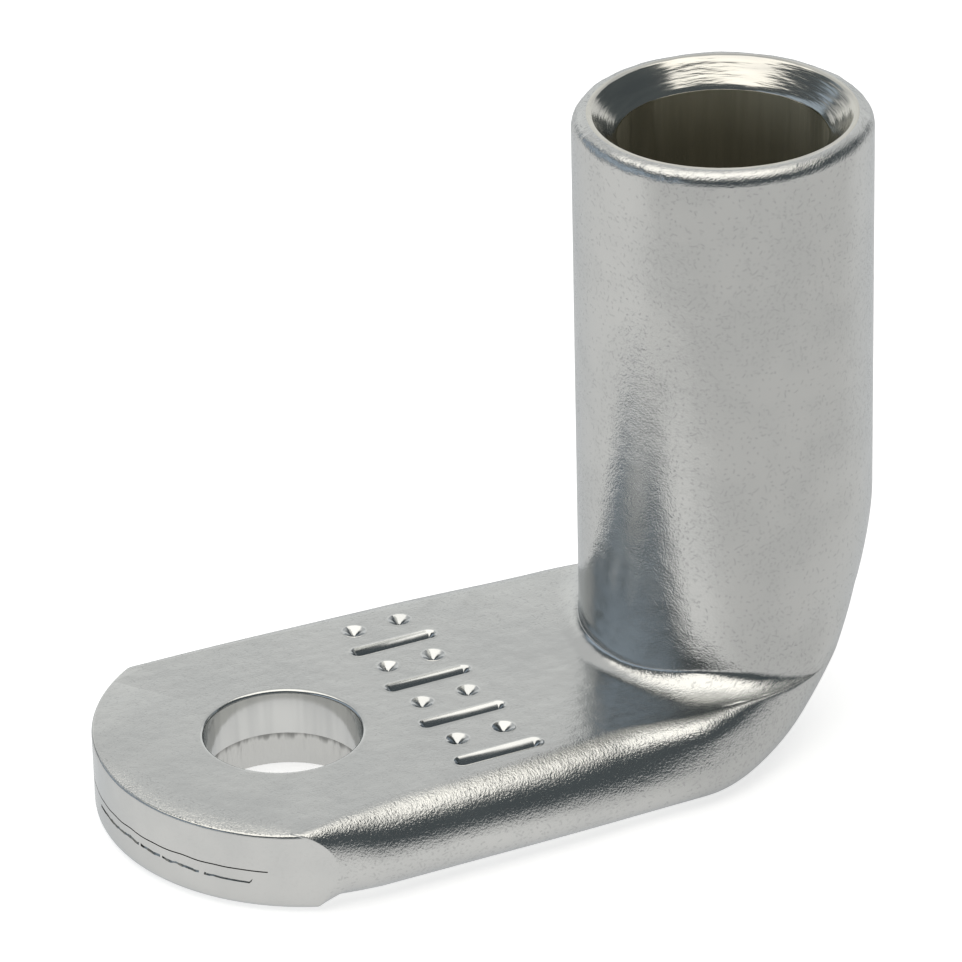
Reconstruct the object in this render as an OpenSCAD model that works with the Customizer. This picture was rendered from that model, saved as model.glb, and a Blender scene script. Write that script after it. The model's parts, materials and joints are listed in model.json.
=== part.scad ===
// A right-angled tubular cable lug, tin plated copper, made from one length of tube.
// One end of the tube stays round and takes the wire. The other end is pressed flat into a palm
// with a stud hole, and the tube is bent through a right angle where the flat meets the round.
// The origin is the centre of the stud hole on the contact face. X runs from the hole towards the
// barrel, Y across the palm and Z up along the barrel.

/* [Barrel] */
// Bore of the barrel, which takes the stripped wire
bore_d = 7; // [5:0.1:9]
// Wall of the tube
wall = 1.5; // [1.1:0.05:2]
// Height of the mouth above the contact face
lug_h = 22; // [18:0.5:32]
// Rounding of the outer edge of the mouth
lip_r = 0.5; // [0.2:0.05:0.7]
// Flat lip left between that rounding and the countersink
lip_flat = 0.16; // [0.1:0.02:0.3]

/* [Palm] */
// How much wider the palm spreads as it is pressed than the bare flattened tube
palm_spread = 0.2; // [0:0.05:0.6]
// How much thinner than two walls the palm is pressed
press_in = 0.05; // [0:0.01:0.2]
// Diameter of the stud hole
stud_d = 5.3; // [4.3:0.1:6.5]
// Small rounding of the rim of the stud hole, as a cone
stud_rim = 0.08; // [0.04:0.01:0.15]
// From the stud hole to the axis of the barrel
stud_to_barrel = 16.6; // [15:0.1:22]
// From the stud hole to the end of the palm
stud_to_end = 6.2; // [5:0.1:8]
// How much the radius of the cropped end exceeds half the palm's width
end_over = 0.3; // [0.3:0.05:2]
// How far the crop's centre lies to the far fold's side of the middle
end_shift = 0.2; // [0:0.05:0.2]
// Rounding that the crop leaves on the lower edge of the end
end_edge_r = 0.45; // [0.1:0.05:0.8]
// How far the crop draws the folds in
end_narrow = 0.27; // [0:0.01:0.4]
// How far in the folds' rounding begins at the crop, where it is squarer than a full round
end_depth = 0.7; // [0.5:0.05:1.2]
// How square that rounding is, where 2 is a full round
end_square = 2.4; // [2:0.1:3]

/* [Bend] */
// Height at which the heel leaves the back of the barrel
heel_h = 9.4; // [7.5:0.1:12]
// How far the heel's curve reaches in under the barrel, from its back
heel_run = 6.4; // [5:0.1:8]
// From the barrel's axis to where the straight folds end and the heel starts to round
heel_side = 4.1; // [3:0.1:5.5]
// Squareness of the heel seen from above, at the contact face
heel_square_low = 2.1; // [1.9:0.05:2.6]
// Squareness of the heel seen from above, at the top of the palm
heel_square_top = 2.65; // [2.2:0.05:3]
// How much each fold leans in by the time it reaches the barrel
fold_lean = 1.3; // [0.8:0.05:1.6]
// From the barrel's axis to where the folds begin to lean in
lean_start = 10; // [8:0.1:12]
// From the barrel's axis to where the folds stop leaning in
lean_stop = 2.2; // [1:0.1:4]
// Fillet at the foot of the barrel, on the side of the stud hole
foot_r = 0.72; // [0.4:0.02:1]
// The same fillet where it turns towards the folds
foot_side_r = 1.5; // [1:0.05:1.8]
// How softly the back of the barrel runs into the heel
heel_soft = 0.6; // [0.2:0.05:0.8]

/* [Seam] */
// Height of the slit that shows in the end of the palm, where the two walls are pressed together
seam_h = 0.06; // [0.04:0.01:0.12]
// Depth of that slit
seam_deep = 0.4; // [0.2:0.05:0.8]
// From each fold to the end of the slit
seam_in = 1.45; // [1:0.05:2]

/* [Hidden] */

barrel_r = bore_d / 2 + wall;
palm_t = 2 * wall - press_in;
palm_w = PI * bore_d / 2 + 2 * wall + palm_spread; // the tube's girth laid out flat, folds and all
half_t = palm_t / 2;
half_w = palm_w / 2;
end_r = half_w + end_over;
countersink = wall - lip_r - lip_flat;
barrel_x = stud_to_barrel;
end_x = -stud_to_end;
toe_x = barrel_x + barrel_r - heel_run;
side_x = barrel_x - heel_side;
end_stock = 2; // what the crop takes off the tip
past_end = end_x - end_stock;
seam_w = palm_w - 2 * seam_in;
edge = 1; // how far a cutter stands clear of what it cuts

// Steps along the outline and up the loft
front_steps = 4;
square_steps = 5;
side_steps = 9;
rear_steps = 14;
fold_steps = 10;
foot_steps = 6;
heel_steps = 11;
cavity_steps = 12;
cavity_points = 48;

// The step in the bore, where the drilled length meets the tube as drawn
bore_step = 0.01;
// The step round the barrel, where its sized length meets the bend
barrel_step = 0.01;
round_r = barrel_r - barrel_step;
cavity_run = heel_run - wall - bore_step;
// From the end of the palm to where the folds begin to go from squarer to full round, and the
// lengths over which their lower and their upper half do so
square_in = 4.3;
square_run_low = 1.3;
square_run_top = 4.3;
square_from = end_x + square_in;
square_to = square_from + square_run_top;
// From the end of the palm to where the folds widen again, and over what length
narrow_in = 5.1;
narrow_run = 1.5;
narrow_from = end_x + narrow_in;
// How quickly the folds lean in with height, and up to how many palm thicknesses
lean_rate = 0.75;
lean_top = 1.6;
// Height over which the meeting of barrel and heel grows soft above the palm
soft_rise = 1.5;
// Directions between which the foot's fillet grows from the one radius to the other
foot_turn_from = 15;
foot_turn_to = 72;
// Where the folds leave the fillet little room, its run over that room and its height over its run
foot_over = 1.15;
foot_low = 0.6;
// The room at which it begins to be as high as it runs, and over how much more room it becomes so
low_room = 0.45;
low_room_run = 0.35;
// Squareness of the slit at the bottom of the cavity
slit_square = 3;

function smooth(u) = let (c = min(max(u, 0), 1)) c * c * (3 - 2 * c);
function mix(a, b, u) = a + (b - a) * u;

// How far the folded edge is inside the palm's full width at x and z: a full round edge, but
// squarer and drawn in near the crop
function fold_in(x, z) =
    let (run = z < half_t ? square_run_low : square_run_top)
    let (share = smooth((x - square_from) / run))
    let (square = mix(end_square, 2, share))
    let (u = min(abs(z - half_t) / half_t, 1))
    end_narrow * (1 - smooth((x - narrow_from) / narrow_run))
    + mix(end_depth, half_t, share) * (1 - pow(1 - pow(u, square), 1 / square));

// The upper half of the fold opens out into the side of the barrel
function fold_open(x) = 1 - smooth((x - barrel_x + lean_start) / lean_start);

// Half the width at x and z, where the fold leans in as it nears the barrel
function side_y(x, z) =
    let (lean = smooth((x - barrel_x + lean_start) / (lean_start - lean_stop)))
    let (rise = pow(min(z / palm_t, lean_top), lean_rate))
    let (round = z < half_t ? fold_in(x, z) : fold_in(x, min(z, palm_t)) * fold_open(x))
    half_w - fold_lean * lean * rise - round;

// How far a quarter round has come out, as a share of its reach, at a share of its height
function quarter(u) = sqrt(1 - pow(1 - min(max(u, 0), 1), 2));

// The heel in side view is a quarter of an ellipse, from the contact face to the barrel's back
function heel_x(z) = toe_x + heel_run * quarter(z / heel_h);

// Half of the outline at height z, from the end of the palm along one fold and round the heel
function half_outline(z) =
    let (square = mix(heel_square_low, heel_square_top, min(z / palm_t, 1)))
    let (start = atan2(half_w, barrel_x - square_to))
    let (shoulder = atan2(half_w, heel_side))
    concat(
        [for (i = [0 : front_steps - 1])
            [past_end, side_y(past_end, z) * i / front_steps]],
        [[past_end, side_y(past_end, z)]],
        [for (i = [0 : square_steps - 1])
            let (x = mix(square_from, square_to, i / square_steps))
            [x, side_y(x, z)]],
        [for (i = [0 : side_steps - 1])
            let (x = barrel_x - half_w / tan(mix(start, shoulder, i / side_steps)))
            [x, side_y(x, z)]],
        [for (i = [0 : rear_steps])
            let (a = 90 * i / rear_steps)
            let (x = side_x + (heel_x(z) - side_x) * pow(sin(a), 2 / square))
            [x, side_y(x, z) * pow(cos(a), 2 / square)]]
    );

// A soft minimum: the two values meet over the width k
function soft_min(a, b, k) =
    let (h = min(max(0.5 + (b - a) / (2 * k), 0), 1))
    mix(b, a, h) - k * h * (1 - h);

// How soft the meeting of barrel and heel is at height z
function softness(z) =
    let (up = z - palm_t)
    heel_soft * smooth(up / soft_rise)
    * (1 - smooth((up - soft_rise) / (heel_h - palm_t - soft_rise))) + 0.001;

// How far the foot's fillet runs out over the palm in the direction of p, given its room there
function foot_run(p, room) =
    let (turn = abs(atan2(p[1], -p[0])))
    let (grown = smooth((turn - foot_turn_from) / (foot_turn_to - foot_turn_from)))
    min(mix(foot_r, foot_side_r, grown), foot_over * room);

// How far out the fillet is at a height above the palm
function foot_out(p, room, up) =
    let (run = foot_run(p, room))
    let (high = run * mix(foot_low, 1, smooth((room - low_room) / low_room_run)))
    high > 0 ? min(run * (1 - quarter(up / high)), room) : 0;

// The outline drawn in to the barrel's round, and spread by the fillet at its foot
function barrel_outline(z) =
    let (land = half_outline(palm_t))
    let (plan = half_outline(z))
    [for (i = [0 : len(plan) - 1])
        let (p = plan[i] - [barrel_x, 0])
        let (far = norm(p))
        let (near = min(soft_min(round_r, far, softness(z)), round_r))
        let (from_axis = land[i] - [barrel_x, 0])
        let (room = max(norm(from_axis) - round_r, 0))
        let (spread = near + foot_out(from_axis, room, z - palm_t))
        [barrel_x, 0] + p * spread / far];

// One closed ring of points at height z, from half an outline
function ring(half, z) = concat(
    [for (p = half) [p[0], -p[1], z]],
    [for (i = [len(half) - 2 : -1 : 1]) [half[i][0], half[i][1], z]]
);

// Whether three points of a face are apart, so that the face has an area
function has_area(face, points) =
    norm(cross(points[face[1]] - points[face[0]], points[face[2]] - points[face[0]])) > 0.00001;

// The faces of a stack of rings, closed with a flat face at the bottom and the top, each drawn
// from the point half way round. Where two rings share a stretch, as at the end of the land round
// the barrel, no face is made.
function stack_faces(rings, count, points) = concat(
    [[for (i = [0 : count - 1]) (i + count / 2) % count]],
    [for (k = [0 : rings - 2], i = [0 : count - 1], half = [0, 1])
        let (j = (i + 1) % count)
        let (low = k * count, high = (k + 1) * count)
        let (face = half == 0 ? [low + i, high + j, low + j] : [low + i, high + i, high + j])
        if (has_area(face, points)) face],
    [[for (i = [count : -1 : 1]) (rings - 1) * count + (i + count / 2) % count]]
);

module stack(rings) {
    all = [for (r = rings) each r];
    polyhedron(points = all, faces = stack_faces(len(rings), len(rings[0]), all), convexity = 6);
}

// Palm, bend and the foot of the barrel, as outlines stacked from the contact face up
module palm_and_bend() {
    palm = [for (i = [0 : fold_steps])
        let (z = half_t * (1 - cos(180 * i / fold_steps)))
        ring(half_outline(z), z)];
    foot = [for (i = [0 : foot_steps])
        let (z = palm_t + foot_side_r * pow(i / foot_steps, 2))
        ring(barrel_outline(z), z)];
    back = [for (i = [1 : heel_steps])
        let (z = mix(palm_t + foot_side_r, heel_h, i / heel_steps))
        ring(barrel_outline(z), z)];
    stack(concat(palm, foot, back));
}

// The round part of the barrel, turned, with a rounded outer lip
module barrel() {
    translate([barrel_x, 0, heel_h])
        rotate_extrude($fn = 96) {
            square([barrel_r, lug_h - heel_h - lip_r]);
            square([barrel_r - lip_r, lug_h - heel_h]);
            translate([barrel_r - lip_r, lug_h - heel_h - lip_r])
                intersection() {
                    circle(lip_r, $fn = 32);
                    square(lip_r);
                }
        }
}

// Half the width of the cavity at height z: a wide slit at the bottom, round above the palm
function cavity_y(z) =
    let (wide = side_y(barrel_x - bore_d / 2, half_t) - wall)
    mix(wide, bore_d / 2 - bore_step, smooth((z - half_t) / (palm_t + foot_r - half_t)));

// The back of the cavity at height z keeps one wall inside the heel
function cavity_x(z) = toe_x + cavity_run * quarter((z - half_t) / (heel_h - half_t));

// What is left open inside below the bore, down to where the walls are pressed together
module cavity() {
    front = barrel_x - bore_d / 2 + bore_step;
    rings = [for (k = [0 : cavity_steps + 1])
        let (z = half_t + (heel_h - half_t) * (1 - cos(90 * min(k / cavity_steps, 1))))
        let (up = k > cavity_steps ? edge : 0)
        let (back = cavity_x(z), half = cavity_y(z))
        let (square = mix(slit_square, 2, smooth((z - half_t) / (palm_t + foot_r - half_t))))
        [for (i = [0 : cavity_points - 1])
            let (a = 180 + 360 * i / cavity_points)
            let (c = cos(a), s = sin(a))
            [(front + back) / 2 + (back - front) / 2 * sign(c) * pow(abs(c), 2 / square),
             half * sign(s) * pow(abs(s), 2 / square), z + up]]];
    stack(rings);
}

// The drilled bore and its countersunk mouth
module bore() {
    translate([barrel_x, 0, heel_h])
        cylinder(h = lug_h - heel_h + edge, d = bore_d, $fn = 96);
    translate([barrel_x, 0, lug_h - countersink])
        cylinder(h = countersink + edge, d1 = bore_d, d2 = bore_d + 2 * (countersink + edge), $fn = 96);
}

// The stud hole, with its rim eased on both faces
module stud_hole() {
    translate([0, 0, -edge])
        cylinder(h = palm_t + 2 * edge, d = stud_d, $fn = 64);
    translate([0, 0, palm_t - stud_rim])
        cylinder(h = stud_rim + edge, d1 = stud_d, d2 = stud_d + 2 * (stud_rim + edge), $fn = 64);
    translate([0, 0, -edge])
        cylinder(h = stud_rim + edge, d1 = stud_d + 2 * (stud_rim + edge), d2 = stud_d, $fn = 64);
}

// What the crop leaves: a round end face whose lower edge is rolled over
module crop_keeps() {
    translate([end_x + end_r, end_shift, 0])
        rotate_extrude($fn = 128) {
            translate([0, end_edge_r])
                square([end_r, palm_t + edge]);
            translate([0, -2 * edge])
                square([end_r - end_edge_r, palm_t]);
            translate([end_r - end_edge_r, end_edge_r])
                circle(end_edge_r, $fn = 32);
        }
}

// What the crop takes off the end of the palm
module end_crop() {
    difference() {
        translate([past_end - edge, -palm_w, -edge])
            cube([end_stock + edge + end_r, 2 * palm_w, palm_t + 1.5 * edge]);
        crop_keeps();
    }
}

// The slit between the two pressed walls, as deep all along the cropped end
module seam() {
    difference() {
        translate([past_end, -seam_w / 2, half_t - seam_h / 2])
            cube([end_stock + end_r, seam_w, seam_h]);
        translate([end_x + end_r, end_shift, 0])
            cylinder(h = palm_t, r = end_r - seam_deep, $fn = 128);
    }
}

module cable_lug() {
    color([0.74, 0.74, 0.73])
        difference() {
            union() {
                palm_and_bend();
                barrel();
            }
            cavity();
            bore();
            stud_hole();
            end_crop();
            seam();
        }
}

cable_lug();
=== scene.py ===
# A right-angled tubular cable lug in tin plated copper: its skin, its finish, its floor and its light.
# The skin is modelled in millimetres and brought to metres when it is whole.
import json
import math

import bmesh
import bpy
from mathutils import Matrix, Vector, noise


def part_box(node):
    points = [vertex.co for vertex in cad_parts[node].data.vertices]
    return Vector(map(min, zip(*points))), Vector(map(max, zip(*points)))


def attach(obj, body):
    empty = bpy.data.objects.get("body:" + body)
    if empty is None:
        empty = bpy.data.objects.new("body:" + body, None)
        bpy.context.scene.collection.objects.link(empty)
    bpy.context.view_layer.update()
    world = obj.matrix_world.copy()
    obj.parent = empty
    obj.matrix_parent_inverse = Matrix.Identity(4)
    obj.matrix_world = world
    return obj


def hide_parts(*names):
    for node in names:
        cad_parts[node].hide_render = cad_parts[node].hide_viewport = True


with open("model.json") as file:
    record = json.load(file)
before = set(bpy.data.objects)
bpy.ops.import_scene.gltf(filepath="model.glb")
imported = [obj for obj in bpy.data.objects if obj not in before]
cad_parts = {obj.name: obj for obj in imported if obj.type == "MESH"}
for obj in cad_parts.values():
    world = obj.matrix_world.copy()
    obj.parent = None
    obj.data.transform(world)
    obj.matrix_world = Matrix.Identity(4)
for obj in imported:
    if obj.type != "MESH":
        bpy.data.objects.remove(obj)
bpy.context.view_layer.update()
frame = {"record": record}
print("frame loaded")

metre = 1000  # millimetres in a metre
boxLow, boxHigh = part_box("cable_lug")
mounts = {mount["name"]: mount for mount in frame["record"]["mounts"]}

# Sizes read off the frame, in millimetres
boreR = mounts["barrel_bore"]["dims"]["r_mm"]
holeR = mounts["stud_hole"]["dims"]["r_mm"]
barrelX = mounts["barrel_bore"]["pos_m"][0] * metre
barrelR = boxHigh.x * metre - barrelX
lugH = boxHigh.z * metre
endX = boxLow.x * metre
halfW = boxHigh.y * metre
wall = barrelR - boreR

# The flat end: the tube pressed shut, cropped to an arc and punched
palm = {
    "pressIn": 0.05,  # thinner than two walls by this much
    "endOver": 0.3,  # the crop's radius over half the width
    "endShift": 0.2,  # the crop's centre towards the far fold
    "lowerEdge": 0.45,  # rounding of the crop's lower edge
    "upperEdge": 0.1,  # rounding of its upper edge
    "corner": 0.2,  # rounding where the crop meets each fold
    "endNarrow": 0.27,  # how far the crop draws the folds in
    "endDepth": 0.7,  # how far in the folds' rounding begins there; further on, half the thickness
    "endSquare": 2.4,  # how square that rounding is; further on, 2 for a full round
    "squareFrom": -1.9,  # where the folds begin to change from the one to the other
    "squareRunLow": 1.3,  # over what length their lower half does
    "squareFromTop": -1.5,
    "squareRunTop": 11,  # and the far fold's upper half, which widens again over the same length
    "squareFromNear": -2.6,
    "squareRunNear": 3.9,  # and the near fold's, which stays drawn in
    "nearIn": (0.22, 0.5),  # by how much, behind the crop and further on
    "nearGrow": 10,
    "nearFrom": 9.5,  # where that begins to fade
    "nearRun": 3.5,
    "narrowFrom": -1.1,  # where their lower half begins to widen again
    "narrowRun": 1.5,
    "dragDown": 0.1,  # how far the crop drags the top down at the edge
    "dragWide": 1.0,
    "dragAt": -0.5,  # middle of the dragged part, from the tip towards the near fold, in radians
    "dragReach": 0.35,
    "dragFade": 0.5,
    "arcSteps": 96,
    "cornerSteps": 8,
    "sideSteps": 44,
    "foldSteps": 28,
    "dragSteps": 5,
}

# The bend between the flat and the round
bend = {
    "heelH": 9.4,
    "heelRun": 6.4,
    "heelSide": 4.1,
    "squareLow": 2.1,
    "squareTop": 2.65,
    "lean": 1.3,
    "leanStart": 10,
    "leanStop": 2.2,
    "leanRate": 0.75,
    "leanTop": 1.6,
    "footR": 0.72,  # the foot's fillet towards the palm
    "footSideR": 1.75,  # the same towards the folds
    "footTurn": (15, 72),  # directions in degrees between which it grows from one to the other
    "footOver": 1.3,  # its run over the room it has, where the folds leave it little
    "footSlope": 45,  # its slope in degrees where the easing into the barrel begins
    "footEase": (0.12, 0.75),  # radius of that easing towards the palm and towards the folds
    "easeTurn": (58, 80),
    "ridge": 0.62,  # height over which the leaned side rounds off at the top
    "leanKeep": 0.62,  # share of the lean that is even, up to where the ridge begins to fade
    "ridgeFrom": 12.5,
    "ridgeTo": 15.5,
    "edgeR": 0.12,  # the fold's upper edge where it runs out beside the barrel
    "soft": 0.6,
    "softRise": 1.5,
    "ridgeSharp": 6,  # how tightly the fillet runs into that edge
    "heelSteps": 44,
    "rearSteps": 40,
    "footTop": 1.3,  # height within which all of it lies
    "footSteps": 30,
}

# The round end and what is open inside it
barrel = {
    "lipR": 0.5,
    "lipFlat": 0.16,
    "lipEase": 0.03,  # easing of the lip's inner edge and of the cone's lower edge
    "ragged": 0.012,  # how uneven those two edges are
    "lipDents": 0.028,  # how uneven the lip's rounding is
    "straightSteps": 10,
    "lipSteps": 10,
    "coneSteps": 6,
    "boreSteps": 6,
    "cavitySteps": 26,
    "slitSquare": 3,
}

# The punched hole: rolled rim, burnished length, then the rougher break-out
punch = {
    "rim": 0.13,
    "burnish": 1.28,  # height above the contact face at which the burnished length ends
    "breakStep": 0.1,
    "breakOut": 0.24,
    "ragged": 0.05,
    "points": 144,
    "rimSteps": 7,
    "breakSteps": 9,
}

# The line where the two pressed walls meet, and the torn line just below it
seam = {
    "height": 0.045,
    "wander": 0.05,
    "deep": 0.3,
    "reach": 5.75,
    "tornBelow": 0.3,
    "tornHigh": 0.1,
    "tornDeep": 0.07,
    "tornFrom": -5.4,
    "tornTo": 1.2,
}

# A plain row of stamped strokes and dots across the palm, which mean nothing
stamp = {
    "middle": 5.75,  # from the stud hole to the middle of the row
    "stroke": 0.25,  # half the width of a stroke
    "dot": 0.33,
    "dotApart": 1.7,
    "long": 3.1,
    "deep": 0.26,
    "pitch": 1.36,
    "first": -4.58,
    "count": 8,
    "lip": 0.05,
    "ragged": 0.03,
    "points": 32,
}

palmT = 2 * wall - palm["pressIn"]
halfT = palmT / 2
endR = halfW + palm["endOver"]
endCentre = Vector((endX + endR, palm["endShift"]))
countersink = wall - barrel["lipR"] - barrel["lipFlat"]
toeX = barrelX + barrelR - bend["heelRun"]
sideX = barrelX - bend["heelSide"]
axis = Vector((barrelX, 0))


def smooth(u):
    c = min(max(u, 0), 1)
    return c * c * (3 - 2 * c)


def mix(a, b, u):
    return a + (b - a) * u


def roundIn(u):  # how far a quarter round has drawn in, as a share of its radius
    return 1 - math.sqrt(max(1 - min(max(u, 0), 1) ** 2, 0))


def foldIn(x, z, side=1):  # how far the fold's edge has drawn in at height z
    start, run = (palm["squareFrom"], palm["squareRunLow"])
    if z >= halfT and side > 0:
        start, run = (palm["squareFromTop"], palm["squareRunTop"])
    elif z >= halfT:
        start, run = (palm["squareFromNear"], palm["squareRunNear"])
    share = smooth((x - start) / run)
    u = min(abs(z - halfT) / halfT, 1)
    square = mix(palm["endSquare"], 2, share)
    low = 1 - smooth((x - palm["narrowFrom"]) / palm["narrowRun"])
    top = 1 - smooth((x - palm["squareFromTop"]) / palm["squareRunTop"]) if side > 0 else low
    narrow = palm["endNarrow"] * mix(low, top, smooth(z / palmT))
    return narrow + mix(palm["endDepth"], halfT, share) * (1 - (1 - u ** square) ** (1 / square))


def nearIn(x, z):
    grown = mix(*palm["nearIn"], smooth(x / palm["nearGrow"]))
    begun = smooth((x - palm["narrowFrom"]) / palm["narrowRun"])
    faded = 1 - smooth((x - palm["nearFrom"]) / palm["nearRun"])
    return grown * begun * faded * smooth(min(z / palmT, 1))


def foldOpen(x):  # the fold's upper half opens out into the side of the barrel
    return 1 - smooth((x - barrelX + bend["leanStart"]) / bend["leanStart"])


def leanedSide(x, z):
    along = (x - barrelX + bend["leanStart"]) / (bend["leanStart"] - bend["leanStop"])
    rise = min(z / palmT, bend["leanTop"]) ** bend["leanRate"]
    if z < palmT:
        keep = mix(bend["leanKeep"], 1, smooth((x - bend["ridgeFrom"]) / (bend["ridgeTo"] - bend["ridgeFrom"])))
        rise = mix(roundIn((z - palmT + bend["ridge"]) / bend["ridge"]), rise, keep)
    return halfW - bend["lean"] * smooth(along) * rise


def sideY(x, z, side=1):
    if z < halfT:
        return leanedSide(x, z) - foldIn(x, z, side)
    room = math.hypot(x - barrelX, leanedSide(x, palmT)) - barrelR
    edge = min(bend["edgeR"], max(room, 0) * 0.25)
    worn = edge * roundIn((z - palmT + edge) / edge) if 0 < edge and z <= palmT else 0
    return leanedSide(x, z) - math.hypot(foldIn(x, min(z, palmT), side) * foldOpen(x), worn)


def heelX(z):
    u = max(bend["heelH"] - z, 0) / bend["heelH"]
    return toeX + bend["heelRun"] * math.sqrt(1 - u * u)


def endRadius(z):
    lower = palm["lowerEdge"] * roundIn((palm["lowerEdge"] - z) / palm["lowerEdge"])
    upper = palm["upperEdge"] * roundIn((z - palmT + palm["upperEdge"]) / palm["upperEdge"])
    return endR - lower - upper


def halfOutline(z, side):
    # from the middle of the cropped end, round its corner, along the fold and round the heel
    radius = endRadius(min(z, palmT))
    corner = palm["corner"]
    cornerX = endX + 2
    for i in range(40):  # the corner's place settles where the fold is as wide as the crop there
        width = halfW - foldIn(cornerX, min(z, palmT), side)
        across = side * (width - corner) - palm["endShift"]
        cornerX = mix(cornerX, endCentre.x - math.sqrt((radius - corner) ** 2 - across ** 2), 0.4)
    turn = math.atan2(across, cornerX - endCentre.x)
    points = []
    for i in range(palm["arcSteps"]):
        a = mix(side * math.pi, turn, i / palm["arcSteps"])
        points.append(endCentre + radius * Vector((math.cos(a), math.sin(a))))
    for i in range(palm["cornerSteps"]):
        a = mix(turn, side * math.pi / 2, i / palm["cornerSteps"])
        points.append(Vector((cornerX + corner * math.cos(a), side * (width - corner) + corner * math.sin(a))))
    start = math.atan2(halfW, barrelX - cornerX)
    shoulder = math.atan2(halfW, bend["heelSide"])
    for i in range(palm["sideSteps"]):
        x = barrelX - halfW / math.tan(mix(start, shoulder, i / palm["sideSteps"]))
        drawnIn = nearIn(x, z) if side < 0 else 0
        points.append(Vector((x, side * (sideY(x, z, side) - drawnIn))))
    square = mix(bend["squareLow"], bend["squareTop"], min(z / palmT, 1))
    for i in range(bend["rearSteps"] + 1):
        a = math.pi / 2 * i / bend["rearSteps"]
        x = sideX + (heelX(z) - sideX) * math.sin(a) ** (2 / square)
        points.append(Vector((x, side * sideY(x, z) * max(math.cos(a), 0) ** (2 / square))))
    points[-1].y = 0
    return points


def outline(z):
    near = halfOutline(z, -1)
    far = halfOutline(z, 1)
    return near + far[-2:0:-1]


def atHeight(points, z):
    return [Vector((p.x, p.y, z)) for p in points]


def softMin(a, b, k):
    h = min(max(0.5 + (b - a) / (2 * k), 0), 1)
    return mix(b, a, h) - k * h * (1 - h)


def softness(z):
    up = z - palmT
    fade = smooth((up - bend["softRise"]) / (bend["heelH"] - palmT - bend["softRise"]))
    return bend["soft"] * smooth(up / bend["softRise"]) * (1 - fade) + 0.001


def eased(a, b, sharp):  # a minimum with its corner rounded off
    if min(a, b) < 0.0001:
        return min(a, b)
    return (a ** -sharp + b ** -sharp) ** (-1 / sharp)


land = outline(palmT)


def footTurned(p, ends):  # p: from the barrel's axis to the land's edge
    turn = abs(math.degrees(math.atan2(p.y, -p.x)))
    return smooth((turn - ends[0]) / (ends[1] - ends[0]))


def footOut(p, room, up):
    # an arc rising off the palm, then a tighter one turning up into the barrel
    wanted = mix(bend["footR"], bend["footSideR"], footTurned(p, bend["footTurn"]))
    run = eased(wanted, bend["footOver"] * room, bend["ridgeSharp"])
    tight = min(mix(*bend["footEase"], footTurned(p, bend["easeTurn"])), 0.6 * run)
    slope = math.radians(bend["footSlope"])
    wide = (run - tight * (1 - math.sin(slope))) / math.sin(slope)
    wideHigh = wide * (1 - math.cos(slope))
    if up < wideHigh:
        return run - math.sqrt(wide ** 2 - (wide - up) ** 2)
    below = wideHigh + tight * math.cos(slope) - up
    return tight - math.sqrt(tight ** 2 - below ** 2) if below > 0 else 0


def neckRing(z):
    ring = []
    for plan, edge in zip(outline(z), land):
        p = plan - axis
        near = min(softMin(barrelR, p.length, softness(z)), barrelR)
        room = max((edge - axis).length - barrelR, 0)
        out = footOut(edge - axis, room, z - palmT) if room > 0.0001 else 0
        ring.append(axis + p * (near + min(out, room)) / p.length)
    return atHeight(ring, z)


def unevenness(seed, direction, fine):
    return noise.noise(Vector((direction.x * fine, direction.y * fine, seed)))


def roundRing(radius, z, seed=0, ragged=0, fine=9):
    ring = []
    for direction in compass:
        wander = ragged * (unevenness(seed, direction, fine) + 0.6 * unevenness(seed + 7, direction, 3.4 * fine))
        p = axis + direction * (radius + wander)
        ring.append(Vector((p.x, p.y, min(z + 0.6 * wander, lugH))))
    return ring


def cavityRing(z):
    front = barrelX - boreR
    u = max(bend["heelH"] - z, 0) / (bend["heelH"] - halfT)
    back = toeX + (bend["heelRun"] - wall) * math.sqrt(max(1 - u * u, 0))
    open_ = smooth((z - halfT) / (palmT + bend["footR"] - halfT))
    half = mix(sideY(barrelX - boreR, halfT) - wall, boreR, open_)
    square = mix(barrel["slitSquare"], 2, open_)
    ring = []
    for d in compass:
        x = (front + back) / 2 + (back - front) / 2 * math.copysign(abs(d.x) ** (2 / square), d.x)
        ring.append(Vector((x, half * math.copysign(abs(d.y) ** (2 / square), d.y), z)))
    return ring


def unroll(rings):
    # for each point of each ring: its way round, the ring's way along, and the ring's girth
    rolled = []
    along = 0
    for k, ring in enumerate(rings):
        if k:
            along += sum((p - q).length for p, q in zip(ring, rings[k - 1])) / len(ring)
        across = [0]
        for p, q in zip(ring[1:], ring):
            across.append(across[-1] + (p - q).length)
        girth = across[-1] + (ring[0] - ring[-1]).length
        halfWay = len(ring) // 2
        across = [a if i <= halfWay else a - girth for i, a in enumerate(across)]
        rolled.append([(a, along, girth) for a in across])
    return rolled


layerNames = ("across", "along", "girth", "grain")


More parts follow.
